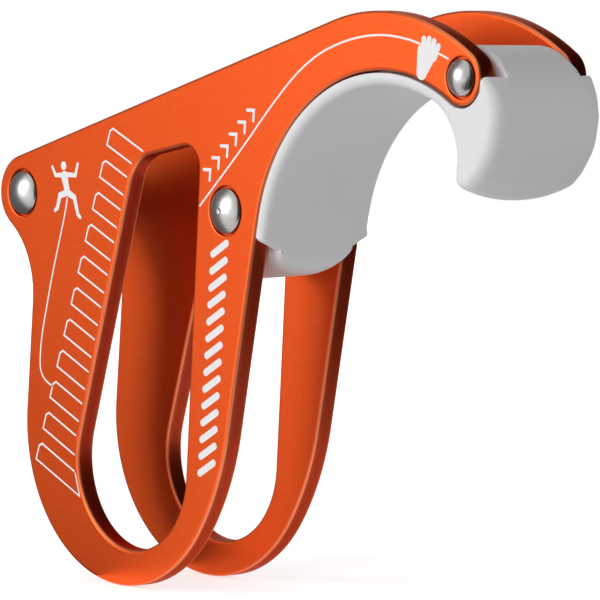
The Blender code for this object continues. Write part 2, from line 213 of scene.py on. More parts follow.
# How much the soft light weakens overhead, and the floor's glow, which rises to full between two distances
SKY_FADE = 0.8
FLOOR_GLOW = 0.66
GLOW_RISES = (0.12, 0.42)

# Strokes: steps of a round end, tightest corner, and the share cut off each side of a softened one
CAP_STEPS = 8
MITRE_LIMIT = 0.5
CORNER_CUT = 0.25

# How far each stroke of a sign lies over the one before, as a share of the marks' lift
SIGN_STEP = 0.25

# The two thin rope lines, as x, z points
BRAKE_LINE = (
    (-7.0, 14.4), (3.06, 23.36), (7.45, 27.67), (11.79, 31.51), (13.94, 33.2), (16.08, 34.64), (18.2, 35.83),
    (20.31, 36.74), (22.41, 37.45), (24.5, 38.01), (26.58, 38.44), (28.65, 38.73), (30.7, 38.87), (32.75, 38.89),
    (34.78, 38.74), (36.81, 38.43), (38.48, 38.12), (39.99, 37.67), (43.48, 36.49), (45.4, 35.78),
)
CLIMBER_LINE = (
    (-38.2, 14.4), (-38.8, 11.9), (-42.0, 2.8), (-43.5, -2.5), (-44.6, -6.3), (-45.1, -10.1), (-44.9, -11.9),
    (-43.6, -13.2), (-41.9, -13.8),
)

# Hollow bars on the left leg, closed where they are nearly full length, and how far they stay off the window
BAR_SPINE = ((-27.6, 25.2), (-46.9, -27.2))
BAR_COUNT = 11
BAR_SHARE = 0.55
BAR_SLOPE = 24.0
BAR_LENGTH = 10.0
NEARLY_FULL = 0.9
BAR_SEARCH = 16.0
BAR_CORNER = (0.5, -0.2)
BAR_BEVEL = 0.6
WINDOW_MARGIN = 0.85
WINDOW_CHORD = 0.8

# Arrow heads beside the brake line: first place along it, pitch, place and half size across it
ARROW_COUNT = 6
ARROW_START = 5.2
ARROW_PITCH = 2.6
ARROW_ASIDE = 2.3
ARROW_HALF = (1.1, 1.0)
ARROW_WEIGHT = 1.6

# Slanted bars up the right leg
LAY_SPINE = ((-5.6, -23.2), (-2.6, 8.4))
LAY_COUNT = 14
LAY_REACH = (1.55, 0.85)
LAY_WIDTH = 1.05

# Signs: the head as x, z and radius, and limbs as first width, last width and x, z points
CLIMBER_HEAD = (-39.05, 19.25, 0.65)
CLIMBER_LIMBS = (
    (1.6, 1.15, (-38.85, 17.7), (-38.15, 15.4)),
    (0.75, 0.5, (-39.3, 17.85), (-41.0, 17.8), (-41.8, 19.0)),
    (0.75, 0.5, (-38.3, 17.95), (-36.15, 17.9), (-35.6, 19.6)),
    (1.05, 0.55, (-38.5, 15.2), (-39.95, 14.8), (-40.6, 12.9), (-41.15, 12.55)),
    (1.05, 0.55, (-37.8, 15.2), (-36.4, 14.6), (-35.55, 12.1), (-35.0, 11.7)),
)
HAND_PARTS = (
    (2.1, 3.6, (40.2, 33.9), (41.0, 36.1)),
    (0.8, 0.95, (39.9, 35.2), (39.9, 37.1)),
    (1.05, 0.95, (40.3, 36.2), (40.65, 38.35)),
    (1.05, 0.95, (41.2, 36.1), (41.7, 38.35)),
    (1.05, 0.95, (42.05, 36.0), (42.7, 38.05)),
    (1.05, 0.9, (42.7, 35.9), (43.55, 37.4)),
)


# Outlines


def point_at(centre, radius, degrees):
    """The point at a radius and an angle from a centre."""
    turn = math.radians(degrees)
    return (centre[0] + radius * math.cos(turn), centre[1] + radius * math.sin(turn))


def tangent_heading(first, second):
    """The direction of the tangent line from one disc of a chain to the next, in degrees."""
    x, z = second[0] - first[0], second[1] - first[1]
    lean = (second[3] * second[2] - first[3] * first[2]) / math.hypot(x, z)
    return math.degrees(math.atan2(z, x)) + math.degrees(math.asin(max(-1.0, min(1.0, lean))))


def arc_points(disc, start, end, grow=0.0, chord=CHORD):
    """Points of one disc between two headings, as x, z, outward x, outward z and rim radius."""
    x, z, radius, side, rim = disc
    turn = side * HEADING_SLACK - side * ((side * (start - end) + HEADING_SLACK) % 360.0)
    count = max(2, math.ceil(math.radians(abs(turn)) * radius / chord))
    count = max(count, math.ceil(abs(turn) / WIDEST_TURN))
    reach = side * radius + grow
    points = []
    for number in range(count + 1):
        heading = math.radians(start + turn * number / count)
        out = (-math.sin(heading), math.cos(heading))
        points.append((x + reach * out[0], z + reach * out[1], out[0], out[1], rim))
    return points


def without_repeats(points):
    """The points without those that lie on the one before."""
    kept = [points[0]]
    for point in points[1:]:
        if math.dist(point[:2], kept[-1][:2]) > SAME_POINT:
            kept.append(point)
    return kept


def closed_outline(discs, grow=0.0, chord=CHORD):
    """Points round a closed chain of discs, moved outwards by grow."""
    points = []
    for index, disc in enumerate(discs):
        start = tangent_heading(discs[index - 1], disc)
        end = tangent_heading(disc, discs[(index + 1) % len(discs)])
        points += arc_points(disc, start, end, grow, chord)
    points = without_repeats(points)
    if math.dist(points[0][:2], points[-1][:2]) <= SAME_POINT:
        points.pop()
    return points


def open_outline(discs, start_angle, end_angle):
    """Points along an open chain, from an angle on its first disc to an angle on its last one."""
    points = []
    last = len(discs) - 1
    for index, disc in enumerate(discs):
        start = start_angle - 90.0 * disc[3]
        end = end_angle - 90.0 * disc[3]
        if index:
            start = tangent_heading(discs[index - 1], disc)
        if index < last:
            end = tangent_heading(disc, discs[index + 1])
        points += arc_points(disc, start, end)
    return without_repeats(points)


def spread(points):
    """A closed outline with more points between those that lie further apart than LONGEST_STEP."""
    filled = []
    for index, point in enumerate(points):
        after = points[(index + 1) % len(points)]
        count = max(1, math.ceil(math.dist(point[:2], after[:2]) / LONGEST_STEP))
        for number in range(count):
            share = number / count
            filled.append(tuple(a + (b - a) * share for a, b in zip(point, after)))
    return filled


def tapered(points):
    """A closed outline whose rim radii grow no faster than RIM_TAPER along it."""
    rims = [point[4] for point in points]
    count = len(points)
    for way in (1, -1):
        for lap in range(2 * count):
            here = (lap * way) % count
            before = (here - way) % count
            run = math.dist(points[here][:2], points[before][:2])
            rims[here] = min(rims[here], rims[before] + run * RIM_TAPER)
    return [(*point[:4], max(0.0, rim)) for point, rim in zip(points, rims)]


# Mesh making


def new_piece(name, work, material, nodes=()):
    """Turn a bmesh into a piece that rides on the device and stands for its solids."""
    bmesh.ops.remove_doubles(work, verts=work.verts, dist=0.0005 * MM)
    bmesh.ops.recalc_face_normals(work, faces=work.faces)
    mesh = bpy.data.meshes.new(name)
    work.to_mesh(mesh)
    work.free()
    mesh.shade_smooth()
    mesh.set_sharp_from_angle(angle=math.radians(SHARP_ANGLE))
    mesh.materials.append(material)
    piece = bpy.data.objects.new(name, mesh)
    dressed_collection().objects.link(piece)
    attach(piece, BODY)
    if nodes:
        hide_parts(*nodes)
    return piece


def dressed_collection():
    """The collection that holds the dressed pieces."""
    group = bpy.data.collections.get(COLLECTION)
    if group is None:
        group = bpy.data.collections.new(COLLECTION)
        bpy.context.scene.collection.children.link(group)
    return group


def weigh_normals(piece):
    """Keep the flat faces flat in shading, with the roundings blending into them."""
    weighted = piece.modifiers.new("Flat faces", "WEIGHTED_NORMAL")
    weighted.mode = "FACE_AREA"
    weighted.weight = 80
    weighted.keep_sharp = True


def ring(work, points, y):
    """A ring of vertices through x, z points at one place across the device."""
    return [work.verts.new((x * MM, y * MM, z * MM)) for x, z in points]


def join(work, rings, closed=True):
    """Quads between each ring and the next."""
    for first, second in zip(rings, rings[1:]):
        count = len(first)
        for spot in range(count if closed else count - 1):
            after = (spot + 1) % count
            work.faces.new((first[spot], first[after], second[after], second[spot]))


def rim_ring(work, points, face, depth, turn, inward=1, margin=0.0):
    """One ring of a rounded rim: at 0 degrees on the flat face, at 90 degrees on the full outline."""
    lean = math.radians(turn)
    row = []
    for x, z, out_x, out_z, rim in points:
        inset = inward * (rim * (1 - math.sin(lean)) + margin)
        y = face + depth * rim * (1 - math.cos(lean))
        row.append(work.verts.new(((x - inset * out_x) * MM, y * MM, (z - inset * out_z) * MM)))
    return row


def fill_between(work, rings):
    """Fill the flat face that a set of rings bounds."""
    edges = []
    for one in rings:
        count = len(one)
        edges += [work.edges.get((one[spot], one[(spot + 1) % count])) for spot in range(count)]
    bmesh.ops.triangle_fill(work, use_beauty=True, use_dissolve=False, edges=edges)


def circle_points(centre, radius, count=CIRCLE_STEPS):
    """Points round a circle."""
    return [point_at(centre, radius, 360.0 * number / count) for number in range(count)]


def turned(work, profile):
    """A round form about the Y axis from radius, y points. Points on the axis close it."""
    join(work, [ring(work, circle_points((0.0, 0.0), radius), y) for radius, y in profile])


# Skins


def plate_skin(work, side, rounding):
    """One side plate with rounded rims, its window and three recessed rivet holes."""
    turns = [90.0 * number / PLATE_RIM_STEPS for number in range(PLATE_RIM_STEPS + 1)]
    loops = []
    for discs, inward in ((PLATE_DISCS, 1), (WINDOW_DISCS, -1)):
        points = spread(closed_outline([(*disc, rounding) for disc in discs]))
        outer, inner = side * OUTER_FACE, side * INNER_FACE
        rows = [rim_ring(work, points, outer, -side, 0.0, inward, FACE_MARGIN)]
        rows += [rim_ring(work, points, outer, -side, turn, inward) for turn in turns]
        rows += [rim_ring(work, points, inner, side, turn, inward) for turn in reversed(turns)]
        rows.append(rim_ring(work, points, inner, side, 0.0, inward, FACE_MARGIN))
        join(work, rows)
        loops.append(rows)
    for _, _, _, centre, shank, head, _ in RIVETS:
        rim = head / 2 + CLEARANCE
        hole = shank / 2 + CLEARANCE
        profile = [
            (rim + RECESS_CHAMFER + FACE_MARGIN, OUTER_FACE),
            (rim + RECESS_CHAMFER, OUTER_FACE),
            (rim + RECESS_CHAMFER * CHAMFER_BEND, OUTER_FACE - RECESS_CHAMFER * CHAMFER_BEND),
            (rim, OUTER_FACE - RECESS_CHAMFER),
            (rim, OUTER_FACE - HEAD_RECESS),
            (hole, OUTER_FACE - HEAD_RECESS),
            (hole, INNER_FACE),
            (hole + FACE_MARGIN, INNER_FACE),
        ]
        rows = [ring(work, circle_points(centre, radius), side * y) for radius, y in profile]
        join(work, rows)
        loops.append(rows)
    for end in (0, -1):
        fill_between(work, [rows[end] for rows in loops])


def crowned(x, y, z):
    """The height of a grip point once both ends of the grip are crowned."""
    if x < END_BEFORE_X:
        return z + end_lift(y, z)
    if x < CROWN_FROM_X or z > CROWN_TOP_Z:
        return z
    side = (y / GRIP_FACE) ** CROWN_SIDE_POWER
    return z + CROWN_LIFT * side * ((CROWN_TOP_Z - z) / CROWN_HEIGHT) ** CROWN_HEIGHT_POWER


def shoulder_depth(*place):
    """How far a grip point moves back from the front of the nose towards its top corners."""
    shares = [min(1.0, max(0.0, at - start) / reach) for at, start, reach in zip(place, SHOULDER_FROM, SHOULDER_REACH)]
    return SHOULDER_DEPTH * shares[0] * shares[1] ** 2 * shares[2]


def end_lift(y, z):
    """How far a point of the grip's lower end rises: the tongue in the middle, the flanges at the sides."""
    if y > SPACER_FACE:
        low = max(0.0, FLANGE_TOP_Z - z) / FLANGE_HEIGHT
        return FLANGE_LIFT * low * (y - SPACER_FACE) / (GRIP_FACE - SPACER_FACE)
    side = max(0.0, y - SPACER_FACE + TONGUE_WIDTH) / TONGUE_WIDTH
    low = max(0.0, TONGUE_TOP_Z - z) / TONGUE_HEIGHT
    return TONGUE_LIFT * low * (1 - math.sqrt(1 - min(1.0, side) ** 2))


def grip_ring(work, points, face, turn, side):
    """One ring of the grip's rim, crowned at both ends, with the nose's top corners drawn in."""
    lean = math.radians(turn)
    row = []
    for x, z, out_x, out_z, rim in points:
        inset = rim * (1 - math.sin(lean))
        y = face - rim * (1 - math.cos(lean))
        px = x - inset * out_x
        pz = crowned(px, y, z - inset * out_z)
        px -= shoulder_depth(px, y, pz)
        row.append(work.verts.new((px * MM, side * y * MM, pz * MM)))
    return row


def grip_skin(work):
    """The grip, lofted between the outline of its core and the outline of its flanges."""
    thumb = open_outline(THUMB_DISCS, LEDGE_ANGLE, FLANGE_END_ANGLE)
    flange = thumb + open_outline(FLANGE_DISCS, FLANGE_END_ANGLE + 180.0, LEDGE_ANGLE)[1:-1]
    core = [(*point[:4], -RIM_TAPER * RIM_RUNOUT) for point in thumb]
    core += open_outline(CORE_DISCS, FLANGE_END_ANGLE, LEDGE_ANGLE)[1:-1]
    flange, core = tapered(flange), tapered(core)
    turns = [90.0 * number / GRIP_RIM_STEPS for number in range(GRIP_RIM_STEPS + 1)]
    core_rows = {}
    for side in (-1, 1):
        core_rows[side] = [grip_ring(work, core, SPACER_FACE, turn, side) for turn in turns]
        flat = [(*point[:4], 0.0) for point in flange]
        deepest = max(point[4] for point in flange)
        faces = [SPACER_FACE + (GRIP_FACE - deepest - SPACER_FACE) * share for share in (0.0, 0.5)]
        rows = [grip_ring(work, flat, face, 0.0, side) for face in faces]
        rows += [grip_ring(work, flange, GRIP_FACE, turn, side) for turn in reversed(turns)]
        join(work, rows)
        work.faces.new(rows[-1])
        edge = rows[0][len(thumb) - 1:] + [rows[0][0]]
        work.faces.new(edge + core_rows[side][0][len(thumb):][::-1])
    flat = [(*point[:4], 0.0) for point in core]
    middles = []
    for part in range(1 - CORE_STEPS, CORE_STEPS):
        middles.append(grip_ring(work, flat, SPACER_FACE * abs(part) / CORE_STEPS, 0.0, math.copysign(1, part)))
    join(work, core_rows[-1] + middles + core_rows[1][::-1])


def head_profile(shank, head, dimpled):
    """One end of a rivet from the middle of its dome to its shank, as radius, y points."""
    top = DOME_TOP
    base = top - HEAD_HEIGHT
    dome = HEAD_HEIGHT - HEAD_SHOULDER
    sphere = ((head / 2) ** 2 + dome ** 2) / (2 * dome)
    edge = math.asin(head / 2 / sphere)
    start = math.asin(DIMPLE_RADIUS / sphere) if dimpled else 0.0
    points = []
    if dimpled:
        for share in DIMPLE_STEPS:
            points.append((DIMPLE_RADIUS * share, top - DIMPLE_DEPTH * (1 - share ** 3)))
    for number in range(DOME_STEPS):
        angle = start + (edge - start) * number / DOME_STEPS
        radius = sphere * math.sin(angle)
        points.append((min(radius, head / 2 - DOME_MARGIN), top - sphere * (1 - math.cos(angle))))
    points += [(head / 2 - inset, top - dome + rise) for inset, rise in HEAD_EDGE]
    return points + [(head / 2, base), (shank / 2, base)]


# Finishes


def add_node(tree, kind, **settings):
    """A new shader node with its settings."""
    node = tree.nodes.new(kind)
    for name, value in settings.items():
        setattr(node, name, value)
    return node


def set_values(node, **values):
    """Constant values on a node's own inputs, with underscores for spaces."""
    for label, value in values.items():
        node.inputs[label.replace("_", " ")].default_value = value


def feed(tree, socket, value):
    """Set an input, or link it where the value is another node's output."""
    if hasattr(value, "is_output"):
        tree.links.new(value, socket)
    else:
        socket.default_value = value


def maths(tree, operation, first, second=0.0, clamp=False):
    """A maths node on two values, each a socket or a number, and its output."""
    node = add_node(tree, "ShaderNodeMath", operation=operation, use_clamp=clamp)
    feed(tree, node.inputs[0], first)
    feed(tree, node.inputs[1], second)
    return node.outputs[0]


def mix_colours(tree, share, first, second):
    """A mix of two colours by a share, and its output."""
    node = add_node(tree, "ShaderNodeMix", data_type="RGBA")
    feed(tree, next(socket for socket in node.inputs if socket.type == "VALUE"), share)
    for socket, colour in zip((socket for socket in node.inputs if socket.type == "RGBA"), (first, second)):
        feed(tree, socket, colour if hasattr(colour, "is_output") else (*colour, 1.0))
    return next(socket for socket in node.outputs if socket.type == "RGBA")


def faint(tree, mask, share):
    """A mask weakened to a share of itself."""
    return maths(tree, "MULTIPLY", mask, share)


def darker(colour, share):
    """A colour with every channel at a share of itself."""
    return tuple(channel * share for channel in colour)


def noise_at(tree, place, scale, detail):
    """Noise at a place, with its scale from another node, and its output."""
    noise = add_node(tree, "ShaderNodeTexNoise")
    set_values(noise, Detail=detail)
    tree.links.new(place, noise.inputs["Vector"])
    tree.links.new(scale, noise.inputs["Scale"])
    return noise.outputs["Fac"]


def new_group(name, inputs, outputs):
    """A shader node group with named inputs and outputs, all of them plain values."""
    tree = bpy.data.node_groups.new(name, "ShaderNodeTree")
    for way, labels in (("INPUT", inputs), ("OUTPUT", outputs)):
        for label in labels:
            tree.interface.new_socket(label, in_out=way, socket_type="NodeSocketFloat")
    return tree, tree.nodes.new("NodeGroupInput"), tree.nodes.new("NodeGroupOutput")


def rim_group():
    """Masks from the way a surface faces, for painted shade on the walls between the faces and a painted highlight on
    the rounded rims.
    """
    tree, _, result = new_group("Rounded rims", [], ["Wall", "Rim"])
    geometry = add_node(tree, "ShaderNodeNewGeometry")
    parts = add_node(tree, "ShaderNodeSeparateXYZ")
    tree.links.new(geometry.outputs["Normal"], parts.inputs[0])
    facing = maths(tree, "ABSOLUTE", parts.outputs["Y"])
    wall = maths(tree, "SUBTRACT", 1.0, facing, clamp=True)
    tree.links.new(maths(tree, "POWER", wall, WALL_POWER), result.inputs["Wall"])
    bend = maths(tree, "MULTIPLY", maths(tree, "MULTIPLY", facing, wall), RIM_GAIN, clamp=True)
    tree.links.new(maths(tree, "POWER", bend, RIM_POWER), result.inputs["Rim"])
    return tree


def grain_group():
    """Fine grain of a blasted surface, with broad patches of shade under it."""
    tree, given, result = new_group("Surface grain", ["Grain size", "Patch size"], ["Shade", "Height"])
    place = add_node(tree, "ShaderNodeTexCoord").outputs["Object"]
    grain = noise_at(tree, place, given.outputs["Grain size"], detail=3.0)
    patch = noise_at(tree, place, given.outputs["Patch size"], detail=4.0)
    shade = maths(tree, "ADD", faint(tree, grain, FINE_SHARE), faint(tree, patch, 1 - FINE_SHARE))
    tree.links.new(shade, result.inputs["Shade"])
    tree.links.new(grain, result.inputs["Height"])
    return tree


def ring_group():
    """Uneven tool rings about the Y axis of a turned piece."""
    tree, given, result = new_group("Turned rings", ["Rings per metre"], ["Shade", "Height"])
    place = add_node(tree, "ShaderNodeTexCoord")
    parts = add_node(tree, "ShaderNodeSeparateXYZ")
    tree.links.new(place.outputs["Object"], parts.inputs[0])
    across = maths(tree, "MULTIPLY", parts.outputs["X"], parts.outputs["X"])
    up = maths(tree, "MULTIPLY", parts.outputs["Z"], parts.outputs["Z"])
    radius = maths(tree, "SQRT", maths(tree, "ADD", across, up))
    noise = add_node(tree, "ShaderNodeTexNoise", noise_dimensions="1D")
    tree.links.new(maths(tree, "MULTIPLY", radius, given.outputs["Rings per metre"]), noise.inputs["W"])
    set_values(noise, Scale=1.0, Detail=2.0)
    for socket in result.inputs[:2]:
        tree.links.new(noise.outputs["Fac"], socket)
    return tree


def scuff_group():
    """Fine scratches: thin lines where a stretched noise crosses its middle."""
    tree, given, result = new_group("Scuffs", ["Scratch size", "Amount"], ["Mask"])
    place = add_node(tree, "ShaderNodeTexCoord")
    turn = add_node(tree, "ShaderNodeMapping")
    set_values(turn, Rotation=(0.4, 0.9, 0.3), Scale=(1.0, 6.0, 9.0))
    tree.links.new(place.outputs["Object"], turn.inputs["Vector"])
    noise = noise_at(tree, turn.outputs["Vector"], given.outputs["Scratch size"], detail=6.0)
    away = maths(tree, "ABSOLUTE", maths(tree, "SUBTRACT", noise, 0.5))
    line = maths(tree, "SUBTRACT", 1.0, maths(tree, "MULTIPLY", away, SCRATCH_SHARPNESS), clamp=True)
    tree.links.new(maths(tree, "MULTIPLY", line, given.outputs["Amount"]), result.inputs["Mask"])
    return tree


GROUPS = {"Rounded rims": rim_group, "Surface grain": grain_group, "Turned rings": ring_group, "Scuffs": scuff_group}


def use_group(tree, name, **values):
    """A shared effect placed in a material, with this material's own values."""
    shared = bpy.data.node_groups.get(name) or GROUPS[name]()
    node = add_node(tree, "ShaderNodeGroup", node_tree=shared)
    set_values(node, **values)
    return node


def new_material(name, colour, roughness, metallic=0.0):
    """A material and its shader, with the values that are the same all over."""
    material = bpy.data.materials.new(name)
    material.use_nodes = True
    material.diffuse_color = (*colour, 1.0)
    shader = material.node_tree.nodes["Principled BSDF"]
    set_values(shader, Base_Color=(*colour, 1.0), Roughness=roughness, Metallic=metallic)
    return material, material.node_tree, shader


def uneven_roughness(tree, shader, shade, lowest, spread):
    """Roughness that rises with a shade, from the lowest value by up to the spread."""
    uneven = maths(tree, "MULTIPLY", shade, spread)
    tree.links.new(maths(tree, "ADD", uneven, lowest), shader.inputs["Roughness"])


def add_bump(tree, shader, height, depth, strength):
    """Surface relief from a height, with its depth in metres."""
    bump = add_node(tree, "ShaderNodeBump")
    set_values(bump, Strength=strength, Distance=depth)
    tree.links.new(height, bump.inputs["Height"])
    tree.links.new(bump.outputs["Normal"], shader.inputs["Normal"])


def anodised_finish(settings):
    """Satin anodised aluminium, with painted shade on the walls between the faces and a painted highlight along the
    rims.
    """
    material, tree, shader = new_material("orange_anodised", settings.colour, settings.roughness, metallic=0.96)
    set_values(shader, Coat_Weight=0.05, Coat_Roughness=0.15, Specular_Tint=(1.0, 0.5, 0.4, 1.0))
    rims = use_group(tree, "Rounded rims")
    grain = use_group(tree, "Surface grain", Grain_size=5200.0, Patch_size=48.0)
    scuffs = use_group(tree, "Scuffs", Scratch_size=240.0, Amount=0.25)
    # Painted shade: the walls between the faces are darkened by the way they face
    wall_shaded = mix_colours(tree, rims.outputs["Wall"], settings.colour, settings.wall_shade_colour)
    # Painted highlight: the rounded rims are lightened by the way they face
    rim_highlighted = mix_colours(tree, faint(tree, rims.outputs["Rim"], share=0.6), wall_shaded, settings.rim_highlight_and_scratch_colour)
    patchy = faint(tree, grain.outputs["Shade"], share=0.35)
    shaded = mix_colours(tree, patchy, rim_highlighted, darker(settings.colour, share=0.72))
    # Scratches take the same light colour, as real wear
    worn = mix_colours(tree, faint(tree, scuffs.outputs["Mask"], share=0.3), shaded, settings.rim_highlight_and_scratch_colour)
    tree.links.new(worn, shader.inputs["Base Color"])
    uneven_roughness(tree, shader, grain.outputs["Shade"], lowest=settings.roughness - 0.05, spread=0.1)
    add_bump(tree, shader, grain.outputs["Height"], depth=0.00002, strength=0.25)
    return material


def moulded_finish(settings):
    """Light grey moulding with a fine matt texture and slight mottling."""
    material, tree, shader = new_material("grey_moulding", settings.colour, settings.roughness)
    set_values(shader, Specular_IOR_Level=0.45)
    grain = use_group(tree, "Surface grain", Grain_size=3600.0, Patch_size=70.0)
    scuffs = use_group(tree, "Scuffs", Scratch_size=150.0, Amount=0.2)
    dark = darker(settings.colour, share=0.9)
    shaded = mix_colours(tree, grain.outputs["Shade"], settings.colour, dark)
    rubbed = mix_colours(tree, faint(tree, scuffs.outputs["Mask"], share=0.25), shaded, dark)
    tree.links.new(rubbed, shader.inputs["Base Color"])
    uneven_roughness(tree, shader, grain.outputs["Shade"], lowest=settings.roughness - 0.08, spread=0.16)
    add_bump(tree, shader, grain.outputs["Height"], depth=0.00004, strength=0.3)
    return material


def steel_finish(name, colour, roughness):
    """Turned steel with tool rings and a few fine scratches."""
    material, tree, shader = new_material(name, colour, roughness, metallic=1.0)
    rings = use_group(tree, "Turned rings", Rings_per_metre=7000.0)
    scuffs = use_group(tree, "Scuffs", Scratch_size=420.0, Amount=0.6)
    dark = darker(colour, share=0.62)
    ringed = mix_colours(tree, rings.outputs["Shade"], colour, dark)
    marked = mix_colours(tree, scuffs.outputs["Mask"], ringed, dark)
    tree.links.new(marked, shader.inputs["Base Color"])
    uneven_roughness(tree, shader, rings.outputs["Shade"], lowest=roughness - 0.08, spread=0.22)
    add_bump(tree, shader, rings.outputs["Height"], depth=0.00002, strength=0.35)
    return material


def mark_finish(settings):
    """White marking, slightly thin in places."""
    material, tree, shader = new_material("white_marking", settings.colour, roughness=0.55)
    grain = use_group(tree, "Surface grain", Grain_size=5200.0, Patch_size=300.0)
    thin = faint(tree, grain.outputs["Shade"], share=0.25)
    tree.links.new(mix_colours(tree, thin, settings.colour, settings.thin_colour), shader.inputs["Base Color"])
    uneven_roughness(tree, shader, thin, lowest=0.42, spread=1.0)
    return material


# Marks


def stroke(work, points, start_width, end_width, y, side):
    """A flat stroke with round ends along x, z points, its width changing from start to end."""
    count = len(points)
    left, right = [], []
    for index, point in enumerate(points):
        before = Vector(points[max(index - 1, 0)])
        after = Vector(points[min(index + 1, count - 1)])
        here = Vector(point)
        first = (here - before).normalized() if index else (after - here).normalized()
        second = (after - here).normalized() if index < count - 1 else first
        along = (first + second).normalized()
        stretch = 1 / max(MITRE_LIMIT, along.dot(first))
        half = (start_width + (end_width - start_width) * index / (count - 1)) / 2
        across = Vector((-along.y, along.x)) * half * stretch
        left.append(here + across)
        right.append(here - across)
    caps = []
    for tip, before, width in ((points[0], points[1], start_width), (points[-1], points[-2], end_width)):
        along = (Vector(tip) - Vector(before)).normalized()
        across = Vector((-along.y, along.x))
        turns = [math.pi * number / CAP_STEPS for number in range(1, CAP_STEPS)]
        caps.append([Vector(tip) + (across * math.cos(turn) + along * math.sin(turn)) * width / 2 for turn in turns])
    rim = ring(work, left + caps[1] + right[::-1] + caps[0], side * y)
    edges = [work.edges.new((rim[spot - 1], rim[spot])) for spot in range(len(rim))]
    bmesh.ops.triangle_fill(work, use_beauty=True, use_dissolve=False, edges=edges)


def softened(points, rounds=3):
    """The points of a line with its corners cut round."""
    for _ in range(rounds):
        cut = [points[0]]
        for first, second in zip(points, points[1:]):
            for share in (CORNER_CUT, 1 - CORNER_CUT):
                cut.append(tuple(a * (1 - share) + b * share for a, b in zip(first, second)))
        points = cut + [points[-1]]
    return points


def dot(work, x, z, radius, y, side):
    """A flat round dot."""
    work.faces.new(ring(work, circle_points((x, z), radius, DOT_STEPS), side * y))


def to_window_edge(start, degrees, edge):
    """Where a line from a start point at an angle first meets the window's edge, if it does."""
    end = point_at(start, BAR_SEARCH, degrees)
    met = [intersect_line_line_2d(start, end, edge[index - 1], corner) for index, corner in enumerate(edge)]
    return min(filter(None, met), key=lambda point: math.dist(point, start), default=None)


def leg_bars(work, y, side, width):
    """Slanted hollow bars down the left leg, open where they run out at the window's rim."""
    discs = [(*disc, 0.0) for disc in WINDOW_DISCS]
    edge = [point[:2] for point in closed_outline(discs, WINDOW_MARGIN, WINDOW_CHORD)]
    spine_top, spine_end = (Vector(point) for point in BAR_SPINE)
    step = (spine_end - spine_top) / BAR_COUNT
    for number in range(BAR_COUNT):
        first = spine_top + step * number
        second = first + step * BAR_SHARE
        ends = []
        for start in (first, second):
            ends.append(to_window_edge(start, -BAR_SLOPE, edge) or point_at(start, BAR_LENGTH, -BAR_SLOPE))
        bevel = first + step.normalized() * BAR_BEVEL
        line = [ends[0], first + Vector(BAR_CORNER), bevel, second, ends[1]]
        if math.dist(ends[0], first) > BAR_LENGTH * NEARLY_FULL:
            line.append(ends[0])
        stroke(work, line, width, width, y, side)


def direction_arrows(work, y, side, width):
    """Small arrow heads beside the brake line, pointing to the hand."""
    start, end = Vector(BRAKE_LINE[0]), Vector(BRAKE_LINE[1])
    along = (end - start).normalized()
    across = Vector((-along.y, along.x))
    length, half = ARROW_HALF
    for number in range(ARROW_COUNT):
        tip = start + along * (ARROW_START + ARROW_PITCH * number) + across * ARROW_ASIDE
        points = [tip - along * length + across * half, tip, tip - along * length - across * half]
        stroke(work, points, width, width, y, side)


def lay_strip(work, y, side, width):
    """A strip of slanted bars up the right leg, like the lay of a rope."""
    low, high = (Vector(point) for point in LAY_SPINE)
    run, reach = high - low, Vector(LAY_REACH)
    for number in range(LAY_COUNT):
        middle = low + run * (number / (LAY_COUNT - 1))
        stroke(work, [middle - reach, middle + reach], width, width, y, side)


def sign_parts(work, parts, y, step, side):
    """The strokes of a sign, each one step higher than the one before."""
    for number, (start, end, *points) in enumerate(parts, 1):
        stroke(work, points, start, end, y + step * number, side)


# Studio


def area_lamp(name, place, size, target, power):
    """A soft round lamp that looks at a target."""
    data = bpy.data.lights.new(name, "AREA")
    data.shape = "DISK"
    data.size = size
    data.energy = power
    lamp = bpy.data.objects.new(name, data)
    lamp.location = place
    lamp.rotation_euler = (Vector(target) - Vector(place)).to_track_quat("-Z", "Y").to_euler()
    bpy.context.scene.collection.objects.link(lamp)


def studio_piece(name, work, material):
    """Turn a bmesh into a piece of the studio, in its material."""
    mesh = bpy.data.meshes.new(name)
    work.to_mesh(mesh)
    work.free()
    mesh.materials.append(material)
    piece = bpy.data.objects.new(name, mesh)
    bpy.context.scene.collection.objects.link(piece)
    return piece


def dull_card(name, target, shade, foot, top, heights):
    """A dull card, from the floor up and bent round the device, that only mirroring surfaces see."""
    work = bmesh.new()
    rows = []
    drop = target.z - SOLID_BOX[0].z - MM
    for step in range(CARD_STEPS + 1):
        share = step / CARD_STEPS
        lift = math.radians(heights[0] + (heights[1] - heights[0]) * share)
        start = foot[0] + (top[0] - foot[0]) * share
        end = foot[1] + (top[1] - foot[1]) * share
        distance = CARD_RADIUS if lift >= 0 else min(CARD_RADIUS, drop / -math.sin(lift))
        row = []
        for number in range(CARD_STEPS + 1):
            x, y = point_at((0.0, 0.0), distance * math.cos(lift), start + (end - start) * number / CARD_STEPS)
            row.append(work.verts.new((target.x + x, target.y + y, target.z + distance * math.sin(lift))))
        rows.append(row)
    join(work, rows, closed=False)
    material, _, shader = new_material(name, (shade,) * 3, roughness=0.9)
    set_values(shader, Specular_IOR_Level=0.0)
    card = studio_piece(name, work, material)
    card.visible_camera = False
    card.visible_diffuse = False
    card.visible_shadow = False


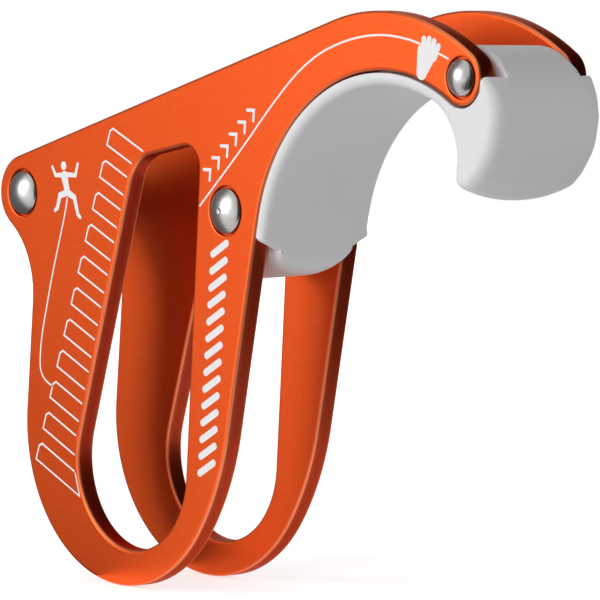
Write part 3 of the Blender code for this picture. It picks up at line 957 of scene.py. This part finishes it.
def studio_world(ambient):
    """A white background for camera, glossy and transmitted rays, and softer light for the rest."""
    world = bpy.data.worlds.new("studio")
    world.use_nodes = True
    tree = world.node_tree
    tree.nodes.clear()
    path = add_node(tree, "ShaderNodeLightPath")
    seen = maths(tree, "MAXIMUM", path.outputs["Is Camera Ray"], path.outputs["Is Glossy Ray"])
    seen = maths(tree, "MAXIMUM", seen, path.outputs["Is Transmission Ray"])
    place = add_node(tree, "ShaderNodeTexCoord")
    parts = add_node(tree, "ShaderNodeSeparateXYZ")
    tree.links.new(place.outputs["Generated"], parts.inputs[0])
    height = maths(tree, "MULTIPLY", parts.outputs["Z"], SKY_FADE, clamp=True)
    level = maths(tree, "MULTIPLY", maths(tree, "SUBTRACT", 1.0, height), ambient)
    background = add_node(tree, "ShaderNodeBackground")
    set_values(background, Color=WHITE)
    tree.links.new(maths(tree, "MAXIMUM", seen, level), background.inputs["Strength"])
    result = add_node(tree, "ShaderNodeOutputWorld")
    tree.links.new(background.outputs[0], result.inputs["Surface"])
    return world


def pale_floor():
    """A round pale floor that keeps the device's shadow and turns white away from it."""
    material, tree, shader = new_material("pale_floor", (FLOOR_SHADE,) * 3, roughness=0.9)
    work = bmesh.new()
    bmesh.ops.create_circle(work, cap_ends=True, segments=CIRCLE_STEPS, radius=FLOOR_RADIUS)
    floor = studio_piece("floor", work, material)
    floor.location = (0.0, 0.0, SOLID_BOX[0].z - FLOOR_GAP)
    place = add_node(tree, "ShaderNodeTexCoord")
    length = add_node(tree, "ShaderNodeVectorMath", operation="LENGTH")
    tree.links.new(place.outputs["Object"], length.inputs[0])
    away = add_node(tree, "ShaderNodeMapRange", interpolation_type="SMOOTHSTEP")
    set_values(away, From_Min=GLOW_RISES[0], From_Max=GLOW_RISES[1], To_Min=FLOOR_GLOW, To_Max=1.0)
    tree.links.new(length.outputs["Value"], away.inputs["Value"])
    path = add_node(tree, "ShaderNodeLightPath")
    seen = maths(tree, "MAXIMUM", path.outputs["Is Camera Ray"], path.outputs["Is Glossy Ray"])
    set_values(shader, Emission_Color=WHITE)
    tree.links.new(maths(tree, "MULTIPLY", seen, away.outputs["Result"]), shader.inputs["Emission Strength"])


# Settings


def colour_setting(name, description, default):
    """A colour that the panel can set."""
    return FloatVectorProperty(name=name, description=description, default=default, subtype="COLOR", min=0.0, max=1.0)


class PlateSettings(bpy.types.PropertyGroup):
    """Sizes and colours of the side plates."""

    rounding: FloatProperty(
        name="Rim rounding", description="Radius of the plates' rounded rims", default=0.0005, min=0.0001,
        max=0.0012, unit="LENGTH", precision=4)
    colour: colour_setting("Anodising", "Colour of the anodised faces", (0.81, 0.103, 0.019))
    # Painted shade: a darker colour that the plates' walls get by the way they face
    wall_shade_colour: colour_setting("Walls", "Deeper colour of the milled walls", (0.3, 0.022, 0.01))
    # Painted highlight on the rims, and the colour of the scratches
    rim_highlight_and_scratch_colour: colour_setting("Rims", "Light colour where the anodising is thin", (1.0, 0.48, 0.25))
    roughness: FloatProperty(
        name="Roughness", description="How satin the anodising is", default=0.44, min=0.05, max=1.0,
        subtype="FACTOR")


class GripSettings(bpy.types.PropertyGroup):
    """Colour and texture of the moulded grip."""

    colour: colour_setting("Moulding", "Colour of the grip", (0.9, 0.9, 0.905))
    roughness: FloatProperty(
        name="Roughness", description="How matt the moulding is", default=0.5, min=0.05, max=1.0, subtype="FACTOR")


class RivetSettings(bpy.types.PropertyGroup):
    """Colour and finish of the rivets and their spacers."""

    colour: colour_setting("Rivet steel", "Colour of the rivets", (0.56, 0.55, 0.545))
    spacer_colour: colour_setting("Spacer steel", "Colour of the spacers", (0.5, 0.5, 0.5))
    roughness: FloatProperty(
        name="Roughness", description="How dull the rivets are", default=0.27, min=0.05, max=1.0, subtype="FACTOR")


class MarkSettings(bpy.types.PropertyGroup):
    """Width and colour of the white marks."""

    width: FloatProperty(
        name="Line width", description="Width of the thin lines", default=0.0003, min=0.0001, max=0.001,
        unit="LENGTH", precision=5)
    lift: FloatProperty(
        name="Lift", description="How far the marks stand off the plate", default=0.00002, min=0.000005, max=0.0001,
        unit="LENGTH", precision=6)
    colour: colour_setting("Marks", "Colour of the marks", (0.96, 0.96, 0.96))
    thin_colour: colour_setting("Thin marks", "Colour where a mark is thin", (0.92, 0.74, 0.68))


class StudioSettings(bpy.types.PropertyGroup):
    """The camera, the lamps and the soft light."""

    azimuth: FloatProperty(
        name="Azimuth", description="Camera angle round the device", default=math.radians(49.5), subtype="ANGLE")
    elevation: FloatProperty(
        name="Elevation", description="Camera angle above the horizon", default=math.radians(3.82), subtype="ANGLE")
    distance: FloatProperty(
        name="Distance", description="From the camera to its target", default=0.6115, unit="LENGTH")
    lens: FloatProperty(name="Lens", description="Focal length in millimetres", default=256.8, min=10.0)
    target: FloatVectorProperty(
        name="Target", description="The point in the middle of the picture", default=(0.0033, 0.0, 0.00096),
        subtype="TRANSLATION", unit="LENGTH")
    key: FloatProperty(name="Key", description="Power of the lamp in front, in watts", default=9.2, min=0.0)
    top: FloatProperty(name="Top", description="Power of the lamp above, in watts", default=0.1, min=0.0)
    ambient: FloatProperty(name="Ambient", description="Soft light from all round", default=0.78, min=0.0, max=1.0)


class DeviceSettings(bpy.types.PropertyGroup):
    """Everything that can be set on the device and its studio."""

    plates: PointerProperty(type=PlateSettings)
    grip: PointerProperty(type=GripSettings)
    rivets: PointerProperty(type=RivetSettings)
    marks: PointerProperty(type=MarkSettings)
    studio: PointerProperty(type=StudioSettings)


# Operators


class BELAY_OT_side_plates(bpy.types.Operator):
    """Make the skins of the two side plates"""

    bl_idname = "belay.side_plates"
    bl_label = "Side Plates"

    def execute(self, context):
        settings = context.scene.belay_device.plates
        material = anodised_finish(settings)
        for name, node, side in (("front_plate", "front_side_plate", -1), ("rear_plate", "rear_side_plate", 1)):
            work = bmesh.new()
            plate_skin(work, side, settings.rounding / MM)
            new_piece(name, work, material, [node])
        return {"FINISHED"}


class BELAY_OT_rope_grip(bpy.types.Operator):
    """Make the skin of the moulded grip"""

    bl_idname = "belay.rope_grip"
    bl_label = "Rope Grip"

    def execute(self, context):
        work = bmesh.new()
        grip_skin(work)
        material = moulded_finish(context.scene.belay_device.grip)
        piece = new_piece("moulded_grip", work, material, ["rope_grip"])
        weigh_normals(piece)
        return {"FINISHED"}


class BELAY_OT_rivets(bpy.types.Operator):
    """Make the domed rivets and their spacers"""

    bl_idname = "belay.rivets"
    bl_label = "Rivets"

    def execute(self, context):
        settings = context.scene.belay_device.rivets
        steel = steel_finish("rivet_steel", tuple(settings.colour), settings.roughness)
        bare = steel_finish("spacer_steel", tuple(settings.spacer_colour), settings.roughness + 0.1)
        for name, node, spacer_node, centre, shank, head, wall in RIVETS:
            work = bmesh.new()
            rear = head_profile(shank, head, False)
            front = [(radius, -y) for radius, y in reversed(head_profile(shank, head, name == "at_grip"))]
            turned(work, rear + front)
            pin = new_piece("rivet_" + name, work, steel, [node])
            hole = shank / 2 + CLEARANCE
            outer = hole + wall
            edge = min(SPACER_CHAMFER, wall / 2)
            work = bmesh.new()
            end = [(hole, SPACER_FACE), (outer - edge, SPACER_FACE), (outer, SPACER_FACE - edge)]
            turned(work, end + [(radius, -y) for radius, y in reversed(end)] + end[:1])
            tube = new_piece("spacer_" + name, work, bare, [spacer_node])
            pin.location = tube.location = (centre[0] * MM, 0.0, centre[1] * MM)
        return {"FINISHED"}


class BELAY_OT_marks(bpy.types.Operator):
    """Lay the white marks on the plates"""

    bl_idname = "belay.marks"
    bl_label = "Marks"

    def execute(self, context):
        settings = context.scene.belay_device.marks
        material = mark_finish(settings)
        width = settings.width / MM
        y = OUTER_FACE + settings.lift / MM
        step = settings.lift / MM * SIGN_STEP
        for label, side in (("front", -1), ("rear", 1)):
            work = bmesh.new()
            for line in (BRAKE_LINE, CLIMBER_LINE):
                stroke(work, softened(line), width, width, y, side)
            new_piece("rope_lines_" + label, work, material)
            work = bmesh.new()
            dot(work, *CLIMBER_HEAD, y, side)
            sign_parts(work, CLIMBER_LIMBS, y, step, side)
            new_piece("climber_sign_" + label, work, material)
            work = bmesh.new()
            sign_parts(work, HAND_PARTS, y, step, side)
            new_piece("hand_sign_" + label, work, material)
        front_marks = (
            ("leg_bars_front", leg_bars, width),
            ("direction_arrows_front", direction_arrows, width * ARROW_WEIGHT),
            ("lay_strip_front", lay_strip, LAY_WIDTH),
        )
        for name, draw, weight in front_marks:
            work = bmesh.new()
            draw(work, y, -1, weight)
            new_piece(name, work, material)
        return {"FINISHED"}


class BELAY_OT_studio(bpy.types.Operator):
    """Set up the camera, the lamps, the cards, the world and the floor"""

    bl_idname = "belay.studio"
    bl_label = "Studio"

    def execute(self, context):
        settings = context.scene.belay_device.studio
        target = Vector(settings.target)
        turn, rise = settings.azimuth, settings.elevation
        back = Vector((math.sin(turn) * math.cos(rise), -math.cos(turn) * math.cos(rise), math.sin(rise)))
        camera = bpy.data.objects.new("camera", bpy.data.cameras.new("camera"))
        camera.data.lens = settings.lens
        camera.data.sensor_width = 36.0
        camera.data.clip_start = 0.01
        camera.location = target + back * settings.distance
        camera.rotation_euler = back.to_track_quat("Z", "Y").to_euler()
        context.scene.collection.objects.link(camera)
        context.scene.camera = camera
        area_lamp("key_lamp", *KEY_LAMP, target, settings.key)
        area_lamp("top_lamp", *TOP_LAMP, target, settings.top)
        dull_card("side_card", target, *SIDE_CARD)
        dull_card("left_card", target, *LEFT_CARD)
        context.scene.world = studio_world(settings.ambient)
        context.scene.view_settings.view_transform = "Standard"
        pale_floor()
        return {"FINISHED"}


class BELAY_PT_panel(bpy.types.Panel):
    """The belay device's settings and its steps"""

    bl_label = "Belay Device"
    bl_idname = "BELAY_PT_panel"
    bl_space_type = "VIEW_3D"
    bl_region_type = "UI"
    bl_category = "Belay Device"

    def draw(self, context):
        settings = context.scene.belay_device
        for group, operator in PANEL_ROWS:
            box = self.layout.box()
            values = getattr(settings, group)
            for name in values.bl_rna.properties.keys():
                if name not in ("rna_type", "name"):
                    box.prop(values, name)
            box.operator(operator)


# Registration


PANEL_ROWS = (
    ("plates", "belay.side_plates"),
    ("grip", "belay.rope_grip"),
    ("rivets", "belay.rivets"),
    ("marks", "belay.marks"),
    ("studio", "belay.studio"),
)

CLASSES = (
    PlateSettings, GripSettings, RivetSettings, MarkSettings, StudioSettings, DeviceSettings,
    BELAY_OT_side_plates, BELAY_OT_rope_grip, BELAY_OT_rivets, BELAY_OT_marks, BELAY_OT_studio, BELAY_PT_panel,
)


def register():
    """Register the classes and the settings."""
    for one in CLASSES:
        bpy.utils.register_class(one)
    bpy.types.Scene.belay_device = PointerProperty(type=DeviceSettings)


def unregister():
    """Remove the settings and the classes."""
    del bpy.types.Scene.belay_device
    for one in reversed(CLASSES):
        bpy.utils.unregister_class(one)


def main():
    """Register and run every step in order."""
    register()
    bpy.ops.belay.studio()
    bpy.ops.belay.side_plates()
    bpy.ops.belay.rope_grip()
    bpy.ops.belay.rivets()
    bpy.ops.belay.marks()


if __name__ == "__main__":
    main()
